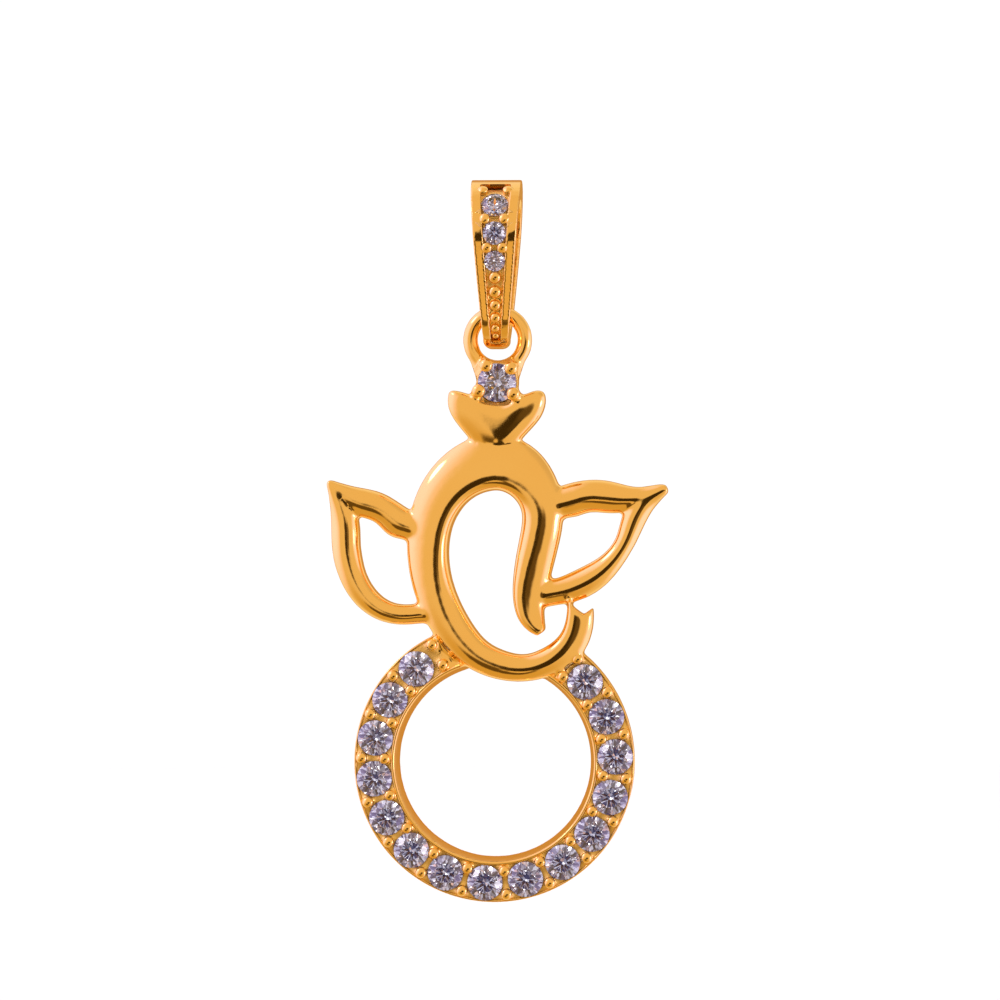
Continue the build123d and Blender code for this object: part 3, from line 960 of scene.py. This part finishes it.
@dataclass
class StoneRing:
    """Beads and rails of the ring of stones.

    Attributes:
        seats: Seats of the ring's stones, in order.
        bead: Diameter of a bead, in metres.
        foot: Length of a bead's foot, in metres.
        spread: Distance between the two beads of a pair, in metres.
        rails: The inner and the outer rail.
        end_shift: How much further the last pair stands from its stone, in metres.
        overruns: How far the rails run past the first and the last stone, in radians.
    """

    seats: list[Seat]
    bead: float = 0.47 * MM
    foot: float = 0.2 * MM
    spread: float = 0.95 * MM
    rails: tuple[Rail, ...] = (
        Rail("inner_rail", 0.81 * MM, 0.16 * MM, 0.0),
        Rail("outer_rail", -0.74 * MM, 0.1 * MM, 0.08 * MM),
    )
    end_shift: float = 0.2 * MM
    overruns: tuple[float, float] = (0.29, 0.36)

    def centre(self) -> Vector:
        """Find the middle of the circle through three stones, a third of the ring apart.

        Returns:
            The ring's middle, level with the girdles.
        """
        count = len(self.seats)
        first, second, third = (self.seats[part * count // 3].centre for part in range(3))
        one = second - first
        two = third - first
        across = one.cross(two)
        return first + (two.length_squared * across.cross(one)
                        + one.length_squared * two.cross(across)) / (2 * across.length_squared)

    def angles(self) -> list[float]:
        """Find the stones' angles about the ring's middle.

        Returns:
            The angles in radians, none above the first stone's.
        """
        middle = self.centre()
        first, *others = [math.atan2((seat.centre - middle).z, (seat.centre - middle).x)
                          for seat in self.seats]
        return [first] + [angle - 2 * math.pi if angle > first else angle for angle in others]

    def spots(self) -> list[tuple[Vector, Vector]]:
        """Find the places of the beads, two in each gap and two past each end.

        Returns:
            Pairs of place and outward direction.
        """
        middle = self.centre()
        centres = [seat.centre for seat in self.seats]
        radius = (centres[0] - middle).length
        half = (centres[0] - middle).angle(centres[1] - middle) / 2
        angles = self.angles()
        gaps = [angles[0] + half] + [angle - half for angle in angles]
        gaps[-1] -= self.end_shift / radius
        out = []
        for gap in gaps:
            along = Vector((math.cos(gap), 0, math.sin(gap)))
            for side in (-1, 1):
                out.append((middle + (radius + side * self.spread / 2) * along, FRONT))
        return out

    def add_rail(self, shape: Rail, gold: bpy.types.Material) -> None:
        """Add one rail.

        Args:
            shape: Its name and sizes.
            gold: Its material.
        """
        middle = self.centre()
        radius = (self.seats[0].centre - middle).length - shape.inset
        deselect()
        bpy.ops.mesh.primitive_circle_add(
            vertices=shape.sides, radius=shape.width / 2, fill_type="NGON",
            location=(radius, 0, 0))
        rail = bpy.context.object
        rail.name = shape.name
        bpy.ops.object.transform_apply()
        first, *_, last = self.angles()
        first += self.overruns[0]
        last -= self.overruns[1]
        put(rail, Matrix.Translation(middle - shape.sink * FRONT)
            @ Matrix.Rotation(-first, 4, "Y"))
        bpy.ops.object.mode_set(mode="EDIT")
        bpy.ops.mesh.select_all(action="SELECT")
        bpy.ops.mesh.spin(steps=shape.steps, angle=last - first, center=middle, axis=(0, 1, 0))
        bpy.ops.mesh.select_all(action="SELECT")
        bpy.ops.mesh.remove_doubles(threshold=MERGE)
        bpy.ops.mesh.normals_make_consistent(inside=False)
        bpy.ops.object.mode_set(mode="OBJECT")
        bpy.ops.object.shade_smooth_by_angle(angle=math.radians(shape.crease))
        dress(rail, gold)
        fit(rail, Body.DROP, Slot.GOLD)

    def build(self, gold: bpy.types.Material) -> None:
        """Add the beads and the rails.

        Args:
            gold: Their material.
        """
        Bead(self.bead, self.foot, Body.DROP).set("ring_bead", self.spots(), gold)
        for shape in self.rails:
            self.add_rail(shape, gold)


@dataclass(frozen=True)
class Card:
    """A round card in the studio that sends its own light from one direction.

    Attributes:
        tilt: Angle from the straight front, in degrees.
        turn: Angle about the front, 0 to the right and 90 upwards, in degrees.
        core: Angular radius of the full card, in degrees.
        rim: Angular radius at which it has faded out, in degrees.
        light: Red, green and blue light of its core.
    """

    tilt: float
    turn: float
    core: float
    rim: float
    light: tuple[float, float, float]

    def direction(self) -> Vector:
        """Find the way to the card.

        Returns:
            The unit vector towards it.
        """
        tilt = math.radians(self.tilt)
        turn = math.radians(self.turn)
        return Vector((math.sin(tilt) * math.cos(turn), -math.cos(tilt),
                       math.sin(tilt) * math.sin(turn)))

    def over(self, board: Board, place: bpy.types.NodeSocket, under: Any) -> bpy.types.NodeSocket:
        """Return the light with this card in front of it.

        Args:
            board: The world's nodes.
            place: The direction that is looked at.
            under: Colour or link of the light without the card.

        Returns:
            The socket of the new light.
        """
        near = board.field("ShaderNodeVectorMath", {"operation": "DOT_PRODUCT"},
                           {0: place, 1: self.direction()}, "Value")
        cover = board.field("ShaderNodeMapRange", {"interpolation_type": "SMOOTHSTEP"}, {
            "Value": near,
            "From Min": math.cos(math.radians(self.rim)),
            "From Max": math.cos(math.radians(self.core)),
        })
        return board.blend(cover, under, (*self.light, 1.0))


@dataclass(frozen=True)
class Patches:
    """Soft patches of other light over all directions.

    Attributes:
        scale: Patches per unit of direction.
        detail: Octaves of the noise that gives them.
        low: Noise value at which a patch begins.
        high: Noise value at which it is full.
    """

    scale: float
    detail: float
    low: float
    high: float

    def over(self, board: Board, place: bpy.types.NodeSocket, under: Any,
             light: Any) -> bpy.types.NodeSocket:
        """Return the light with these patches in front of it.

        Args:
            board: The world's nodes.
            place: The direction that is looked at.
            under: Colour or link of the light without the patches.
            light: Colour or link of the patches' light.

        Returns:
            The socket of the new light.
        """
        cover = board.field("ShaderNodeMapRange", {}, {
            "Value": board.noise(place, self.scale, self.detail),
            "From Min": self.low,
            "From Max": self.high,
        })
        return board.blend(cover, under, light)


@dataclass
class Studio:
    """Camera, lights, world and floor.

    Attributes:
        turn: Camera's turn to the right of the front, in degrees.
        distance: Camera's distance from its target, in metres.
        height_shown: Height of the picture at the target, in metres.
        target: The point at the picture's middle.
        nearest: Distance under which the camera shows nothing, in metres.
        level: Red, green and blue light of the bare surroundings in the gold.
        cards: What stands around the pendant.
        dim: Colour that the stones' insides see between the patches.
        cool: Colour of most patches that they see.
        warm: Colour of the others.
        warmth: Where the patches turn warm.
        sparkle: Where the patches are.
        inner_cards: What the stones' insides see in front of the patches.
        white: Brightness of the backdrop.
        floor_gain: How much more light falls on the floor.
        floor_drop: How far the floor lies below the pendant, in metres.
        floor_radius: Radius of the floor, in metres.
        floor_thickness: Its thickness, in metres.
        floor_sides: Sides of its outline.
    """

    turn: float = 3.0
    distance: float = 0.19
    height_shown: float = 0.04167
    target: tuple[float, float, float] = (0.000125, 0.0, -0.01258)
    nearest: float = 0.01
    level: tuple[float, float, float] = (0.87, 0.6, 0.32)
    cards: tuple[Card, ...] = (
        Card(180.0, 0.0, 60.0, 100.0, (1.0, 0.82, 0.65)),
        Card(90.0, 155.0, 28.0, 62.0, (1.35, 1.0, 1.55)),
        Card(88.0, -14.0, 22.0, 42.0, (1.35, 1.0, 1.5)),
        Card(85.0, 45.0, 10.0, 32.0, (0.74, 0.52, 0.29)),
        Card(55.0, -105.0, 20.0, 48.0, (0.7, 0.41, 0.1)),
        Card(180.0, 0.0, 25.0, 45.0, (0.62, 0.3, 0.065)),
        Card(33.0, -108.0, 12.0, 18.0, (0.13, 0.07, 0.014)),
        Card(12.4, -58.0, 12.2, 15.6, (0.045, 0.025, 0.006)),
        Card(20.0, -18.0, 5.0, 12.0, (0.12, 0.068, 0.02)),
        Card(23.6, -97.0, 3.0, 6.0, (0.88, 0.55, 0.2)),
        Card(68.0, 140.0, 3.0, 8.0, (6.0, 5.5, 6.0)),
        Card(66.0, -5.0, 3.0, 8.0, (6.0, 5.5, 6.0)),
    )
    dim: tuple[float, float, float, float] = (0.07, 0.065, 0.15, 1.0)
    cool: tuple[float, float, float, float] = (0.86, 0.84, 1.0, 1.0)
    warm: tuple[float, float, float, float] = (1.0, 0.62, 0.5, 1.0)
    warmth: Patches = Patches(7.0, 0.0, 0.56, 0.66)
    sparkle: Patches = Patches(4.5, 2.0, 0.44, 0.6)
    inner_cards: tuple[Card, ...] = (
        Card(3.0, -40.0, 7.0, 15.0, (0.02, 0.02, 0.05)),
        Card(38.0, 120.0, 5.0, 12.0, (4.0, 4.0, 4.0)),
        Card(50.0, -30.0, 4.0, 10.0, (4.0, 4.0, 4.0)),
    )
    white: float = 1.03
    floor_gain: float = 0.16
    floor_drop: float = 0.009
    floor_radius: float = 0.25
    floor_thickness: float = 0.004
    floor_sides: int = 96

    def camera(self) -> None:
        """Add the camera and make it the scene's."""
        aim = Vector(self.target)
        turn = math.radians(self.turn)
        spot = aim + self.distance * Vector((math.sin(turn), -math.cos(turn), 0))
        deselect()
        bpy.ops.object.camera_add(location=spot, rotation=(math.pi / 2, 0, turn))
        camera = bpy.context.object
        camera.name = "camera"
        camera.data.sensor_fit = "HORIZONTAL"
        camera.data.angle = 2 * math.atan(self.height_shown / 2 / self.distance)
        camera.data.clip_start = self.nearest
        bpy.context.scene.camera = camera

    def world(self) -> None:
        """Add the soft white surroundings and their cards."""
        world = bpy.data.worlds.new("studio")
        bpy.context.scene.world = world
        world.use_nodes = True
        board = Board(world.node_tree)
        place = board.add("ShaderNodeTexCoord", {}, {}).outputs["Generated"]
        white = (1.0, 1.0, 1.0, 1.0)
        light: Any = (*self.level, 1.0)
        for card in self.cards:
            light = card.over(board, place, light)
        bright = self.warmth.over(board, place, self.cool, self.warm)
        inner: Any = self.sparkle.over(board, place, self.dim, bright)
        for card in self.inner_cards:
            inner = card.over(board, place, inner)
        path = board.add("ShaderNodeLightPath", {}, {}).outputs
        diffuse = Field(board, path["Is Diffuse Ray"])
        seen = Field(board, path["Is Camera Ray"]) + diffuse
        soft = board.add("ShaderNodeBackground", {}, {"Color": light, "Strength": 1.0})
        inside = board.add("ShaderNodeBackground", {}, {"Color": inner, "Strength": 1.0})
        plain = board.add("ShaderNodeBackground", {}, {
            "Color": white, "Strength": self.white + self.floor_gain * diffuse})
        stones = board.add("ShaderNodeMixShader", {}, {
            0: path["Is Transmission Ray"], 1: soft.outputs[0], 2: inside.outputs[0]})
        mixed = board.add("ShaderNodeMixShader", {},
                          {0: seen, 1: stones.outputs[0], 2: plain.outputs[0]})
        board.add("ShaderNodeOutputWorld", {}, {"Surface": mixed.outputs[0]})

    def floor(self, under: float) -> None:
        """Add the floor.

        Args:
            under: Height of the pendant's lowest point.
        """
        deselect()
        bpy.ops.mesh.primitive_circle_add(
            vertices=self.floor_sides, radius=self.floor_radius, fill_type="NGON",
            location=(0, 0, under - self.floor_drop))
        floor = bpy.context.object
        floor.name = "floor"
        bpy.ops.object.transform_apply()
        modifier(floor, "SOLIDIFY", thickness=self.floor_thickness, offset=-1.0)
        dress(floor, PaleFloor().build())
        floor.visible_glossy = False
        floor.visible_transmission = False
        floor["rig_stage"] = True

    def build(self, under: float) -> None:
        """Add everything.

        Args:
            under: Height of the pendant's lowest point.
        """
        self.camera()
        self.world()
        self.floor(under)
        bpy.context.scene.view_settings.view_transform = "Standard"


def main() -> None:
    """Build the pendant and its studio."""
    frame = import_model()
    low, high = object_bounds()
    gold = PolishedGold().build()
    stone = CutStone().build()
    nodes = frame["nodes"]
    ring_seats = [Seat.of(nodes[name]) for name in sorted(nodes) if name.startswith("ring_stone")]
    bail_seats = [Seat.of(nodes[name]) for name in sorted(nodes) if name.startswith("bail_stone")]
    crown_seat = Seat.of(nodes["crown_stone"])
    CastGold("drop", "drop_casting", Body.DROP, ring_seats + [crown_seat], grain=0.074, passes=13,
             plug_depth=0.9 * MM, plug_sink=0.1 * MM).build(frame, gold)
    CastGold("bail", "bail_casting", Body.BAIL, bail_seats, grain=0.032, passes=10,
             plug_depth=0.6 * MM, plug_sink=0.11 * MM).build(frame, gold)
    BailFront().build(gold)
    CrownClaws(crown_seat).build(gold)
    StoneRing(ring_seats).build(gold)
    for name, node in nodes.items():
        if "stone" in name:
            dress(node, stone)
    Studio().build(low.z)


if __name__ == "__main__":
    logging.basicConfig(level=logging.INFO)
    main()
